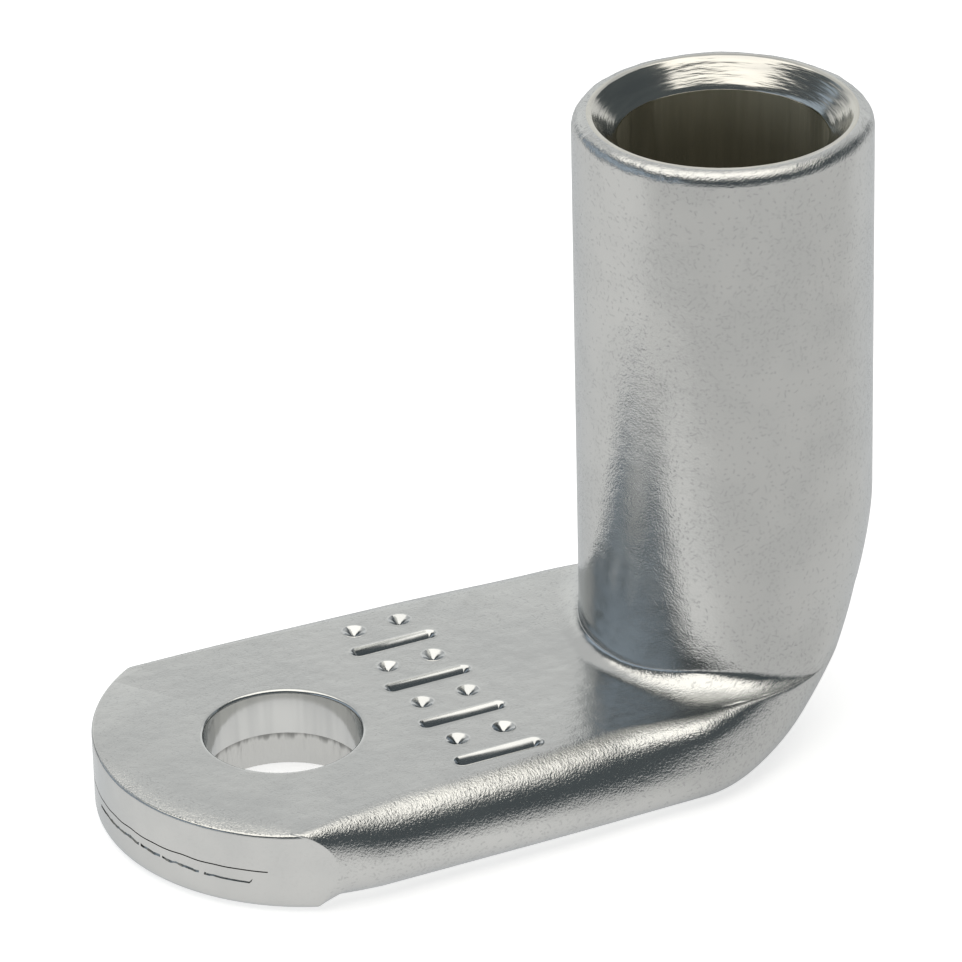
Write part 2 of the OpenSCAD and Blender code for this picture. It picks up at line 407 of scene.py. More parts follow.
def growSkin(name, rings, grain, closeEnd=False):
    # a circle is added, and extruded once for each further ring, whose points are then placed
    rolled = unroll(rings)
    bpy.ops.object.select_all(action="DESELECT")
    bpy.ops.mesh.primitive_circle_add(vertices=len(rings[0]), radius=1, location=(0, 0, 0))
    skin = bpy.context.object
    skin.name = name
    skin.data.name = name
    bpy.ops.object.mode_set(mode="EDIT")
    bpy.ops.mesh.select_mode(type="VERT")
    bpy.ops.mesh.select_all(action="SELECT")
    grown = bmesh.from_edit_mesh(skin.data)
    station = grown.verts.layers.int.new("station")
    level = grown.verts.layers.int.new("level")
    for title in layerNames:
        grown.verts.layers.float.new(title)
    station = grown.verts.layers.int["station"]
    for i, v in enumerate(grown.verts):
        v[station] = i
        v.co = rings[0][i]
    bmesh.update_edit_mesh(skin.data)
    for step, ring in enumerate(rings[1:], 1):
        bpy.ops.mesh.extrude_region_move()
        grown = bmesh.from_edit_mesh(skin.data)
        station = grown.verts.layers.int["station"]
        level = grown.verts.layers.int["level"]
        for v in grown.verts:
            if v.select:
                v[level] = step
                v.co = ring[v[station]]
        bmesh.update_edit_mesh(skin.data)
    if closeEnd:
        bpy.ops.mesh.edge_face_add()
    grown = bmesh.from_edit_mesh(skin.data)
    station = grown.verts.layers.int["station"]
    level = grown.verts.layers.int["level"]
    layers = [grown.verts.layers.float[title] for title in layerNames]
    for v in grown.verts:
        values = (*rolled[v[level]][v[station]], grain(v[level], v[station]))
        for layer, value in zip(layers, values):
            v[layer] = value
    bmesh.update_edit_mesh(skin.data)
    bpy.ops.mesh.select_all(action="DESELECT")
    bpy.ops.object.mode_set(mode="OBJECT")
    return skin


def foldHeights():
    heights = [halfT * (1 - math.cos(math.pi * i / palm["foldSteps"])) for i in range(palm["foldSteps"] + 1)]
    tornTop = halfT - seam["tornBelow"]
    lines = [halfT - seam["height"] / 2, halfT + seam["height"] / 2, tornTop, tornTop - seam["tornHigh"]]
    clear = [z for z in heights if min(abs(z - line) for line in lines) > 0.03]
    return sorted(clear + lines)


def dragWeight(p):
    out = p - endCentre
    reach = abs(math.atan2(out.y, -out.x) - palm["dragAt"])
    inPlace = out.length > endRadius(palmT) - 0.001 and out.x < 0
    return 1 - smooth((reach - palm["dragReach"]) / palm["dragFade"]) if inPlace else 0


def draggedRing(share):
    # the crop drags the palm's top down along the arc, most at the edge and not at all at the corners
    ring = []
    for p in land:
        out = p - endCentre
        weight = dragWeight(p)
        q = endCentre + out * (1 - palm["dragWide"] * weight * share / out.length)
        ring.append(Vector((q.x, q.y, palmT - palm["dragDown"] * weight * (1 - share) ** 2)))
    return ring


rings = []
heights = foldHeights()
for z in heights[:-1]:
    droop = smooth((z - palmT + 0.5) / 0.5)
    low = atHeight(outline(z), z)
    top = draggedRing(0)
    for p, t in zip(low, top):
        p.z -= (palmT - t.z) * droop
    rings.append(low)
for k in range(palm["dragSteps"] + 1):
    rings.append(draggedRing(k / palm["dragSteps"]))
landLevel = len(rings) - 1
foldTop = len(heights) - 1
footTop = palmT + bend["footTop"]
footLevel = len(rings)
for i in range(bend["footSteps"] + 1):
    rings.append(neckRing(mix(palmT, footTop, (i / bend["footSteps"]) ** 1.5)))
for i in range(1, bend["heelSteps"] + 1):
    rings.append(neckRing(mix(footTop, bend["heelH"], i / bend["heelSteps"])))
compass = [(Vector((p.x, p.y)) - axis).normalized() for p in rings[-1]]
neckLevel = len(rings) - 1
shoulderZ = lugH - barrel["lipR"]
for i in range(1, barrel["straightSteps"] + 1):
    rings.append(roundRing(barrelR, mix(bend["heelH"], shoulderZ, i / barrel["straightSteps"])))
for i in range(1, barrel["lipSteps"] + 1):
    a = math.pi / 2 * i / barrel["lipSteps"]
    r = barrelR - barrel["lipR"] * (1 - math.cos(a))
    dents = barrel["lipDents"] * math.sin(2 * a)
    rings.append(roundRing(r - 0.3 * dents, shoulderZ + barrel["lipR"] * math.sin(a), 21, dents, 5))
mouthLevel = len(rings) - 1
coneR = boreR + countersink
ease = barrel["lipEase"]
ragged = barrel["ragged"]
rings.append(roundRing(coneR + ease, lugH, 1, ragged))
rings.append(roundRing(coneR, lugH - 0.25 * ease, 1, ragged))
rings.append(roundRing(coneR - ease, lugH - ease, 1, ragged))
for i in range(1, barrel["coneSteps"]):
    drop = mix(ease, countersink - ease, i / barrel["coneSteps"])
    rings.append(roundRing(coneR - drop, lugH - drop))
rings.append(roundRing(boreR + ease, lugH - countersink + ease, 3, ragged))
rings.append(roundRing(boreR, lugH - countersink - ease, 3, ragged * 0.6))
boreLevel = len(rings) - 1
for i in range(1, barrel["boreSteps"] + 1):
    rings.append(roundRing(boreR, mix(lugH - countersink - ease, bend["heelH"], i / barrel["boreSteps"])))
for i in range(1, barrel["cavitySteps"] + 1):
    z = halfT + (bend["heelH"] - halfT) * (1 - math.sin(math.pi / 2 * i / barrel["cavitySteps"]))
    rings.append(cavityRing(z))
for ring in rings[:landLevel + 1]:  # nothing reaches below the contact face
    for p in ring:
        p.z = max(p.z, 0)

around = len(rings[0])
arcPoints = palm["arcSteps"]
endPoints = arcPoints + palm["cornerSteps"]
wear = {  # how strongly tumbling has worked each stretch of the skin
    "end": 0.15,
    "lowerFold": 0.5,
    "fold": 0.8,
    "dragged": 2.2,
    "flat": 0.25,
    "foot": 0.1,
    "barrel": 0.5,
    "lip": 0.8,
    "mouth": 0.1,
}


def bodyGrain(level, station):
    fromTip = min(station, around - station)
    onEnd = 1 - smooth((fromTip - arcPoints) / (endPoints - arcPoints))
    if level < foldTop:
        up = smooth((heights[level] - 0.3 * halfT) / halfT)
        fold = mix(wear["lowerFold"], wear["fold"], up)
        return mix(fold, wear["end"], onEnd)
    if level <= landLevel:
        share = dragWeight(land[station]) * (landLevel - level) / (landLevel - foldTop)
        return mix(wear["flat"], wear["dragged"], share)
    if level <= neckLevel:
        up = smooth((level - footLevel - bend["footSteps"]) / bend["heelSteps"])
        behind = smooth((fromTip / around - 0.25) / 0.1)
        return mix(mix(wear["foot"], wear["lowerFold"], behind), wear["barrel"], up)
    if level <= mouthLevel - barrel["lipSteps"]:
        return wear["barrel"]
    return wear["lip"] if level <= mouthLevel else wear["mouth"]


lugBody = growSkin("lugBody", rings, bodyGrain, closeEnd=True)
print("skin grown:", len(lugBody.data.vertices), "points")


def selectFaces(obj, wanted):
    # in edit mode: selects the faces for which wanted(levels, stations, centre) is true
    editing = bmesh.from_edit_mesh(obj.data)
    station = editing.verts.layers.int["station"]
    level = editing.verts.layers.int["level"]
    count = 0
    for f in editing.faces:
        levels = [v[level] for v in f.verts]
        stations = [v[station] for v in f.verts]
        f.select_set(wanted(levels, stations, f.calc_center_median()))
        count += f.select
    editing.select_flush_mode()
    bmesh.update_edit_mesh(obj.data)
    return count


def onArc(stations):
    return all(s <= arcPoints or s >= around - arcPoints for s in stations)


def cutLine(obj, bottom, top, first, last, deep, gaps, wander):
    # a line in the cropped face: its edges wander up and down, and its faces are pushed in
    lowLevel = min(range(len(heights)), key=lambda k: abs(heights[k] - bottom))
    highLevel = min(range(len(heights)), key=lambda k: abs(heights[k] - top))

    def wanted(levels, stations, centre):
        band = min(levels) >= lowLevel and max(levels) <= highLevel
        broken = gaps * noise.noise(Vector((0, centre.y * 3.3, 5))) > 0.3
        return band and onArc(stations) and first < centre.y < last and not broken

    bpy.ops.object.mode_set(mode="EDIT")
    editing = bmesh.from_edit_mesh(obj.data)
    station = editing.verts.layers.int["station"]
    level = editing.verts.layers.int["level"]
    for v in editing.verts:
        if lowLevel <= v[level] <= highLevel and onArc([v[station]]) and first < v.co.y < last:
            swing = noise.noise(Vector((1, v.co.y * 1.3, 0)))
            swing += 1.6 * gaps * noise.noise(Vector((v[level] * 0.37, v.co.y * 5, 0)))
            fade = smooth(min(v.co.y - first, last - v.co.y))
            v.co.z += wander * swing * fade
            if gaps:
                v.co.z -= 0.1 * smooth((-v.co.y - 1) / 4.5)
    bmesh.update_edit_mesh(obj.data)
    bpy.ops.mesh.select_mode(type="FACE")
    bpy.ops.mesh.select_all(action="DESELECT")
    selectFaces(obj, wanted)
    bpy.ops.mesh.extrude_region_move(TRANSFORM_OT_translate={"value": (deep, 0, 0)})
    bpy.ops.mesh.select_all(action="DESELECT")
    bpy.ops.object.mode_set(mode="OBJECT")


tornTop = halfT - seam["tornBelow"]
half = seam["height"] / 2
cutLine(lugBody, halfT - half, halfT + half, -seam["reach"], seam["reach"], seam["deep"], 0, seam["wander"])
cutLine(lugBody, tornTop - seam["tornHigh"], tornTop, seam["tornFrom"], seam["tornTo"], seam["tornDeep"], 1,
        0.7 * seam["wander"])
print("seam cut")

# The strip between the palm's outline and the barrel's foot gives way to one flat face with its holes
bpy.context.view_layer.objects.active = lugBody
bpy.ops.object.mode_set(mode="EDIT")
bpy.ops.mesh.select_mode(type="FACE")
bpy.ops.mesh.select_all(action="DESELECT")
selectFaces(lugBody, lambda levels, stations, centre: min(levels) == landLevel and max(levels) == landLevel + 1)
bpy.ops.mesh.delete(type="ONLY_FACE")
bpy.ops.mesh.select_all(action="SELECT")
bpy.ops.mesh.delete_loose()
bpy.ops.mesh.select_all(action="DESELECT")
bpy.ops.object.mode_set(mode="OBJECT")


def ringAbout(centre, radius, z, count, ragged=0, seed=0):
    ring = []
    for i in range(count):
        a = 2 * math.pi * i / count
        d = Vector((math.cos(a), math.sin(a)))
        wander = ragged * (unevenness(seed, d, 6) + 0.8 * unevenness(seed + z, d, 24))
        ring.append(Vector((centre.x + d.x * (radius + wander), centre.y + d.y * (radius + wander), z)))
    return ring


holeRings = [ringAbout(Vector((0, 0)), holeR + 1.5 * punch["rim"], palmT, punch["points"])]
for i in range(punch["rimSteps"] + 1):
    a = math.pi / 2 * i / punch["rimSteps"]
    r = holeR + punch["rim"] * (1 - math.sin(a))
    holeRings.append(ringAbout(Vector((0, 0)), r, palmT - punch["rim"] * (1 - math.cos(a)), punch["points"]))
for z in (mix(palmT, punch["burnish"], 0.5), punch["burnish"] + 0.03):
    holeRings.append(ringAbout(Vector((0, 0)), holeR, z, punch["points"]))
for i in range(punch["breakSteps"] + 1):
    u = i / punch["breakSteps"]
    r = holeR + mix(punch["breakStep"], punch["breakOut"], u)
    z = punch["burnish"] * (1 - u) - 0.03 * (1 - u)
    torn = punch["ragged"] * (1 - u ** 4)
    holeRings.append(ringAbout(Vector((0, 0)), r, z, punch["points"], torn, 11))
studHole = growSkin("studHole", holeRings, lambda level, station: wear["flat"] if level < 2 else wear["mouth"])
burnishLevel = punch["rimSteps"] + 3


def strokeRing(centre, length, radius, z):
    # a stroke with round ends along X, or a dot where its length is nothing
    ring = []
    for i in range(stamp["points"]):
        a = 2 * math.pi * (i + 0.5) / stamp["points"]
        shift = math.copysign(length / 2, math.cos(a))
        if z != palmT:
            radius *= 1 + stamp["ragged"] * noise.noise(Vector((centre.x + shift, 3 * centre.y, 0.9 * i)))
        ring.append(Vector((centre.x + shift + radius * math.cos(a), centre.y + radius * math.sin(a), z)))
    return ring


def addStroke(name, centre, length, radius):
    # a groove with sloping sides and a narrow round bottom, its edge raised a little by the punch
    lip = stamp["lip"]
    profile = [(radius + 3 * lip, 0), (radius + 2 * lip, 0), (radius + lip, 0.3 * lip), (radius, -0.25 * lip)]
    for share in (0.25, 0.5, 0.75):
        profile.append((radius * (1 - share), -stamp["deep"] * share))
    profile.append((0.16 * radius, -stamp["deep"] * 0.88))
    rows = [strokeRing(centre, max(length - 2 * radius, 0), r, palmT + z) for r, z in profile]
    return growSkin(name, rows, lambda level, station: wear["flat"] if level < 2 else wear["end"], closeEnd=True)


marks = []
for k in range(stamp["count"]):
    middle = Vector((stamp["middle"], stamp["first"] + k * stamp["pitch"]))
    if k % 2:
        for side in (-1, 1):
            spot = middle + Vector((side * stamp["dotApart"] / 2, 0))
            marks.append(addStroke("markDot", spot, 0, stamp["dot"]))
    else:
        marks.append(addStroke("markStroke", middle, stamp["long"], stamp["stroke"]))
print("hole and marks grown")

# Everything is joined, its seams merged, and the open flats filled round their holes
bpy.ops.object.select_all(action="DESELECT")
for part in [studHole] + marks:
    part.select_set(True)
    editing = bmesh.new()
    editing.from_mesh(part.data)
    level = editing.verts.layers.int["level"]
    offset = 1000 if part is studHole else 2000  # keeps their levels apart from the body's
    for v in editing.verts:
        v[level] += offset
    editing.to_mesh(part.data)
    editing.free()
lugBody.select_set(True)
bpy.context.view_layer.objects.active = lugBody
bpy.ops.object.join()
bpy.ops.object.mode_set(mode="EDIT")
bpy.ops.mesh.select_mode(type="VERT")
bpy.ops.mesh.select_all(action="SELECT")
bpy.ops.mesh.remove_doubles(threshold=0.002)


def fillFlat(obj, z):
    bpy.ops.mesh.select_mode(type="EDGE")
    bpy.ops.mesh.select_all(action="DESELECT")
    editing = bmesh.from_edit_mesh(obj.data)
    for e in editing.edges:
        e.select_set(e.is_boundary and all(abs(v.co.z - z) < 0.001 for v in e.verts))
    bmesh.update_edit_mesh(obj.data)
    bpy.ops.mesh.fill(use_beauty=True)


fillFlat(lugBody, palmT)
fillFlat(lugBody, 0)
bpy.ops.mesh.select_mode(type="FACE")
bpy.ops.mesh.select_all(action="SELECT")
bpy.ops.mesh.normals_make_consistent(inside=False)
bpy.ops.mesh.select_all(action="DESELECT")
bpy.ops.object.mode_set(mode="OBJECT")

# Each face gets its finish, and the skin is unrolled in millimetres for the finishes to lie on
slots = ("tumbled", "mouth", "bore", "hole", "torn", "mark")
whole = bmesh.new()
whole.from_mesh(lugBody.data)
level = whole.verts.layers.int["level"]
across, along, girth = (whole.verts.layers.float[title] for title in layerNames[:3])
unrolled = whole.loops.layers.uv.new("unrolled")


def slotOf(levels):
    low, high = min(levels), max(levels)
    if high - low > 900:
        return "tumbled"
    if low >= 2000:
        return "mark" if high > 2002 else "tumbled"
    if low >= 1000:
        if low >= 1000 + burnishLevel:
            return "torn"
        return "hole" if high > 1002 else "tumbled"
    if high >= 1000 or high <= 0:
        return "tumbled"
    if low >= boreLevel:
        return "bore"
    return "mouth" if low >= mouthLevel else "tumbled"


for f in whole.faces:
    f.material_index = slots.index(slotOf([v[level] for v in f.verts]))
    flat = abs(f.normal.z) > 0.9 and f.calc_center_median().z < palmT + 0.05
    widest = max(v[girth] for v in f.verts)
    rounds = [v[across] for v in f.verts]
    for loop, way in zip(f.loops, rounds):
        v = loop.vert
        if flat:
            loop[unrolled].uv = (v.co.x + 40, v.co.y)
        else:
            wrapped = max(rounds) - way > 0.5 * widest
            loop[unrolled].uv = (way + (v[girth] if wrapped else 0), v[along])
openEdges = sum(1 for e in whole.edges if not e.is_manifold)
print("joined:", len(whole.verts), "points,", len(whole.faces), "faces,", openEdges, "open edges")
print("slots:", {name: sum(1 for f in whole.faces if f.material_index == i) for i, name in enumerate(slots)})
whole.to_mesh(lugBody.data)
whole.free()

bpy.context.view_layer.objects.active = lugBody
lugBody.select_set(True)
lugBody.scale = (1 / metre,) * 3
bpy.ops.object.transform_apply(location=True, rotation=True, scale=True)
bpy.ops.object.shade_smooth_by_angle(angle=math.radians(38))
weighted = lugBody.modifiers.new("weighted normals", "WEIGHTED_NORMAL")
weighted.keep_sharp = True
weighted.weight = 80
bpy.ops.object.modifier_apply(modifier=weighted.name)

# Finishes
white = (1, 1, 1, 1)


def makeGroup(name, inputs, outputs):
    tree = bpy.data.node_groups.new(name, "ShaderNodeTree")
    for title, kind, value in inputs:
        socket = tree.interface.new_socket(title, in_out="INPUT", socket_type=kind)
        if value is not None:
            socket.default_value = value
    for title, kind in outputs:
        tree.interface.new_socket(title, in_out="OUTPUT", socket_type=kind)
    return tree, tree.nodes.new("NodeGroupInput"), tree.nodes.new("NodeGroupOutput")


def addNode(tree, kind, values=None, **settings):
    node = tree.nodes.new(kind)
    for key, value in settings.items():
        setattr(node, key, value)
    for key, value in (values or {}).items():
        if isinstance(value, bpy.types.NodeSocket):
            tree.links.new(value, node.inputs[key])
        else:
            node.inputs[key].default_value = value
    return node


def calc(tree, operation, a, b=0.0, clamp=False):
    return addNode(tree, "ShaderNodeMath", {0: a, 1: b}, operation=operation, use_clamp=clamp).outputs[0]


def vectorCalc(tree, operation, a, b=(0, 0, 0)):
    return addNode(tree, "ShaderNodeVectorMath", {0: a, 1: b}, operation=operation).outputs[0]


def ramp(tree, value, low, high, toLow=0.0, toHigh=1.0):
    values = {"Value": value, "From Min": low, "From Max": high, "To Min": toLow, "To Max": toHigh}
    return addNode(tree, "ShaderNodeMapRange", values, interpolation_type="SMOOTHSTEP").outputs[0]


def cloud(tree, place, scale, detail=2.0, rough=0.5, size="3D"):
    values = {"Vector": place, "Scale": scale, "Detail": detail, "Roughness": rough}
    return addNode(tree, "ShaderNodeTexNoise", values, noise_dimensions=size).outputs["Fac"]


def linkInputs(tree, group, values):
    for key, value in values.items():
        if isinstance(value, bpy.types.NodeSocket):
            tree.links.new(value, group.inputs[key])
        else:
            group.inputs[key].default_value = value


def blendColour(tree, factor, a, b):
    node = tree.nodes.new("ShaderNodeMix")
    node.data_type = "RGBA"
    for socket, value in ((node.inputs[0], factor), (node.inputs[6], a), (node.inputs[7], b)):
        if isinstance(value, bpy.types.NodeSocket):
            tree.links.new(value, socket)
        else:
            socket.default_value = value
    return node.outputs[2]


# Short hair scratches on the unrolled skin, each in its own direction
hairGroup, groupIn, groupOut = makeGroup(
    "hairScratches",
    [("Skin", "NodeSocketVector", None), ("Cells", "NodeSocketFloat", 2.0), ("Half Length", "NodeSocketFloat", 0.2),
     ("Half Width", "NodeSocketFloat", 0.035), ("Share", "NodeSocketFloat", 0.4)],
    [("Mask", "NodeSocketFloat")],
)
skin, cells, halfLong, halfWide, share = (groupIn.outputs[i] for i in range(5))
found = addNode(hairGroup, "ShaderNodeTexVoronoi", {"Vector": skin, "Scale": cells}, voronoi_dimensions="2D", feature="F1")
chance = addNode(hairGroup, "ShaderNodeSeparateColor", {0: found.outputs["Color"]})
offset = vectorCalc(hairGroup, "SUBTRACT", skin, found.outputs["Position"])
turn = calc(hairGroup, "MULTIPLY", chance.outputs[0], math.pi)
lying = addNode(hairGroup, "ShaderNodeVectorRotate", {"Vector": offset, "Angle": turn}, rotation_type="Z_AXIS")
lying = addNode(hairGroup, "ShaderNodeSeparateXYZ", {0: lying.outputs[0]})
bowed = calc(hairGroup, "MULTIPLY", lying.outputs["X"], lying.outputs["X"])
aside = calc(hairGroup, "ADD", lying.outputs["Y"], calc(hairGroup, "MULTIPLY", bowed, 0.9))
narrow = ramp(hairGroup, calc(hairGroup, "ABSOLUTE", aside), halfWide, 0.0)
short = ramp(hairGroup, calc(hairGroup, "ABSOLUTE", lying.outputs["X"]), halfLong, calc(hairGroup, "MULTIPLY", halfLong, 0.4))
there = calc(hairGroup, "LESS_THAN", chance.outputs[1], share)
there = calc(hairGroup, "MULTIPLY", there, ramp(hairGroup, chance.outputs[2], 0.0, 1.0, 0.35, 1.0))
hairGroup.links.new(calc(hairGroup, "MULTIPLY", calc(hairGroup, "MULTIPLY", narrow, short), there), groupOut.inputs[0])

# Tumbling: the scratches, fine grain, and broad patches that are duller and more marked
tumbling, groupIn, groupOut = makeGroup(
    "tumbling",
    [("Skin", "NodeSocketVector", None), ("Place", "NodeSocketVector", None), ("Grain", "NodeSocketFloat", 9.0),
     ("Worn", "NodeSocketFloat", 1.0)],
    [("Height", "NodeSocketFloat"), ("Marks", "NodeSocketFloat"), ("Patches", "NodeSocketFloat")],
)
skin, place, grain, worn = (groupIn.outputs[i] for i in range(4))
patches = cloud(tumbling, place, 0.4, 2, 0.6)
many = ramp(tumbling, patches, 0.35, 0.68, 0.3, 0.95)
marks = None
for cells, halfLong, halfWide, drop in ((1.9, 0.2, 0.05, 0.25), (3.4, 0.12, 0.05, 0.1), (5.2, 0.07, 0.055, 0.0)):
    hairs = addNode(tumbling, "ShaderNodeGroup", node_tree=hairGroup)
    shifted = vectorCalc(tumbling, "ADD", skin, (cells * 3.7, cells * 1.9, 0))
    linkInputs(tumbling, hairs, {"Skin": shifted, "Cells": cells, "Half Length": halfLong, "Half Width": halfWide,
                                 "Share": calc(tumbling, "SUBTRACT", many, drop)})
    marks = hairs.outputs[0] if marks is None else calc(tumbling, "MAXIMUM", marks, hairs.outputs[0])
fine = cloud(tumbling, skin, grain, 2, 0.7, "2D")
waves = cloud(tumbling, skin, 1.6, 1, 0.5, "2D")
height = calc(tumbling, "SUBTRACT", fine, calc(tumbling, "MULTIPLY", marks, 0.3))
height = calc(tumbling, "MULTIPLY", height, worn)
height = calc(tumbling, "ADD", height, calc(tumbling, "MULTIPLY", waves, 0.75))
marks = calc(tumbling, "MULTIPLY", marks, ramp(tumbling, worn, 0.0, 0.5))
for output, value in (("Height", height), ("Marks", marks), ("Patches", patches)):
    tumbling.links.new(value, groupOut.inputs[output])

# Tool lines: rings or ribs that vary along one direction only
ribbing, groupIn, groupOut = makeGroup(
    "toolLines",
    [("Lines", "NodeSocketVector", None), ("Fine", "NodeSocketFloat", 10.0), ("Broad", "NodeSocketFloat", 3.0)],
    [("Height", "NodeSocketFloat"), ("Streaks", "NodeSocketFloat")],
)
lines, fine, broad = (groupIn.outputs[i] for i in range(3))
fineLines = cloud(ribbing, lines, fine, 2, 0.6)
broadLines = cloud(ribbing, lines, broad, 2, 0.6)
height = calc(ribbing, "ADD", calc(ribbing, "MULTIPLY", fineLines, 0.6), broadLines)
ribbing.links.new(height, groupOut.inputs["Height"])
ribbing.links.new(broadLines, groupOut.inputs["Streaks"])


def newMaterial(name, finish):
    material = bpy.data.materials.new(name)
    material.use_nodes = True
    tree = material.node_tree
    tree.nodes.clear()
    shader = addNode(tree, "ShaderNodeBsdfPrincipled", {
        "Base Color": finish["light"], "Metallic": finish.get("metallic", 1.0), "Roughness": finish["rough"],
        "Specular Tint": finish["edge"],
    })
    addNode(tree, "ShaderNodeOutputMaterial", {"Surface": shader.outputs["BSDF"]})
    place = addNode(tree, "ShaderNodeTexCoord").outputs["Object"]
    return material, tree, shader, vectorCalc(tree, "MULTIPLY", place, (metre,) * 3)


def applyBump(tree, shader, height, deep):
    bump = addNode(tree, "ShaderNodeBump", {"Height": height, "Strength": 1.0, "Distance": deep / metre})
    tree.links.new(bump.outputs["Normal"], shader.inputs["Normal"])


# Tin: light and dull patches, the marks' own tone, how deep its grain is in millimetres
tin = {
    "light": (0.645, 0.645, 0.628, 1),
    "dull": (0.61, 0.612, 0.598, 1),
    "marks": (0.54, 0.54, 0.53, 1),
    "edge": (0.78, 0.8, 0.82, 1),
    "grain": 12.5,
    "rough": 0.17,
    "roughMarks": 0.1,
    "deep": 0.015,
}
turned = {
    "light": (0.66, 0.645, 0.595, 1),
    "dull": (0.56, 0.55, 0.52, 1),
    "edge": (0.85, 0.85, 0.83, 1),
    "rough": 0.16,
    "fine": 9.0,
    "broad": 2.4,
    "deep": 0.02,
}
drawn = {
    "light": (0.4, 0.375, 0.29, 1),
    "dull": (0.36, 0.34, 0.26, 1),
    "edge": (0.8, 0.8, 0.75, 1),
    "metallic": 0.6,
    "rough": 0.55,
    "fine": 9.0,
    "broad": 3.0,
    "deep": 0.03,
}
burnished = {
    "light": (0.66, 0.665, 0.65, 1),
    "dull": (0.58, 0.585, 0.575, 1),
    "edge": (0.8, 0.82, 0.84, 1),
    "rough": 0.12,
    "fine": 5.0,
    "broad": 1.2,
    "deep": 0.006,
}
# The break-out: rough, with its top painted dark, a painted shade under the burnished length's step
broken = {
    "light": (0.68, 0.68, 0.66, 1),
    # dull here is the colour of that painted shade
    "dull": (0.3, 0.3, 0.29, 1),
    "edge": (0.8, 0.8, 0.8, 1),
    "rough": 0.38,
    "fine": 7.0,
    "broad": 2.6,
    "deep": 0.05,
}
pressed = {
    "light": (0.63, 0.635, 0.63, 1),
    "dull": (0.55, 0.56, 0.56, 1),
    "edge": (0.8, 0.82, 0.84, 1),
    "rough": 0.14,
    "fine": 4.0,
    "broad": 1.5,
    "deep": 0.008,
}


def tinFinish(name, finish):
    material, tree, shader, place = newMaterial(name, finish)
    skin = addNode(tree, "ShaderNodeUVMap", uv_map="unrolled").outputs["UV"]
    worn = addNode(tree, "ShaderNodeAttribute", attribute_name="grain").outputs["Fac"]
    worked = addNode(tree, "ShaderNodeGroup", node_tree=tumbling)
    linkInputs(tree, worked, {"Skin": skin, "Place": place, "Grain": finish["grain"], "Worn": worn})
    tone = ramp(tree, worked.outputs["Patches"], 0.66, 0.36)
    plain = blendColour(tree, tone, finish["dull"], finish["light"])
    colour = blendColour(tree, worked.outputs["Marks"], plain, finish["marks"])
    rough = calc(tree, "ADD", calc(tree, "MULTIPLY", worked.outputs["Marks"], finish["roughMarks"]), finish["rough"])
    tree.links.new(colour, shader.inputs["Base Color"])
    tree.links.new(rough, shader.inputs["Roughness"])
    applyBump(tree, shader, worked.outputs["Height"], finish["deep"])
    return material


def aboutAxis(tree, place, centre, flatten):
    # radius, then direction and height each scaled down so far that the lines keep one way
    flatPlace = vectorCalc(tree, "SUBTRACT", place, (centre, 0, 0))
    flatPlace = vectorCalc(tree, "MULTIPLY", flatPlace, (1, 1, 0))
    length = addNode(tree, "ShaderNodeVectorMath", {0: flatPlace}, operation="LENGTH").outputs["Value"]
    direction = addNode(tree, "ShaderNodeVectorMath", {0: flatPlace}, operation="NORMALIZE").outputs[0]
    direction = addNode(tree, "ShaderNodeSeparateXYZ", {0: direction})
    height = addNode(tree, "ShaderNodeSeparateXYZ", {0: place}).outputs["Z"]
    if flatten == "rings":
        parts = (length, calc(tree, "MULTIPLY", direction.outputs["X"], 0.35), calc(tree, "MULTIPLY", direction.outputs["Y"], 0.35))
    else:
        reach = 3.0
        parts = (calc(tree, "MULTIPLY", direction.outputs["X"], reach), calc(tree, "MULTIPLY", direction.outputs["Y"], reach),
                 calc(tree, "MULTIPLY", height, 0.06 if flatten == "long" else 0.25))
    return addNode(tree, "ShaderNodeCombineXYZ", dict(enumerate(parts))).outputs[0], height


def toolFinish(name, finish, centre, flatten, paintedShadeTop=None):
    material, tree, shader, place = newMaterial(name, finish)
    lines, height = aboutAxis(tree, place, centre, flatten)
    ribs = addNode(tree, "ShaderNodeGroup", node_tree=ribbing)
    linkInputs(tree, ribs, {"Lines": lines, "Fine": finish["fine"], "Broad": finish["broad"]})
    tone = ramp(tree, ribs.outputs["Streaks"], 0.34, 0.62)
    # where a top is given, the face is painted dull above it, a painted shade, ragged by the streaks
    if paintedShadeTop:
        ragged = calc(tree, "ADD", height, calc(tree, "MULTIPLY", tone, 0.2))
        tone = ramp(tree, ragged, paintedShadeTop[0] + 0.1, paintedShadeTop[1] + 0.1)
    tree.links.new(blendColour(tree, tone, finish["dull"], finish["light"]), shader.inputs["Base Color"])
    applyBump(tree, shader, ribs.outputs["Height"], finish["deep"])
    return material


finishes = {
    "tumbled": tinFinish("tumbledTin", tin),
    "mouth": toolFinish("turnedMouth", turned, barrelX, "rings"),
    "bore": toolFinish("drawnBore", drawn, barrelX, "long"),
    "hole": toolFinish("burnishedWall", burnished, 0, "long"),
    # the break-out's top is painted dark: painted shade under the burnished length
    "torn": toolFinish("brokenWallWithPaintedShade", broken, 0, "short", (punch["burnish"], punch["burnish"] - 0.3)),
    "mark": toolFinish("pressedMark", pressed, 0, "long"),
}
for name in slots:
    lugBody.data.materials.append(finishes[name])
print("finishes made:", len(finishes))

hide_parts("cable_lug")
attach(lugBody, "root")
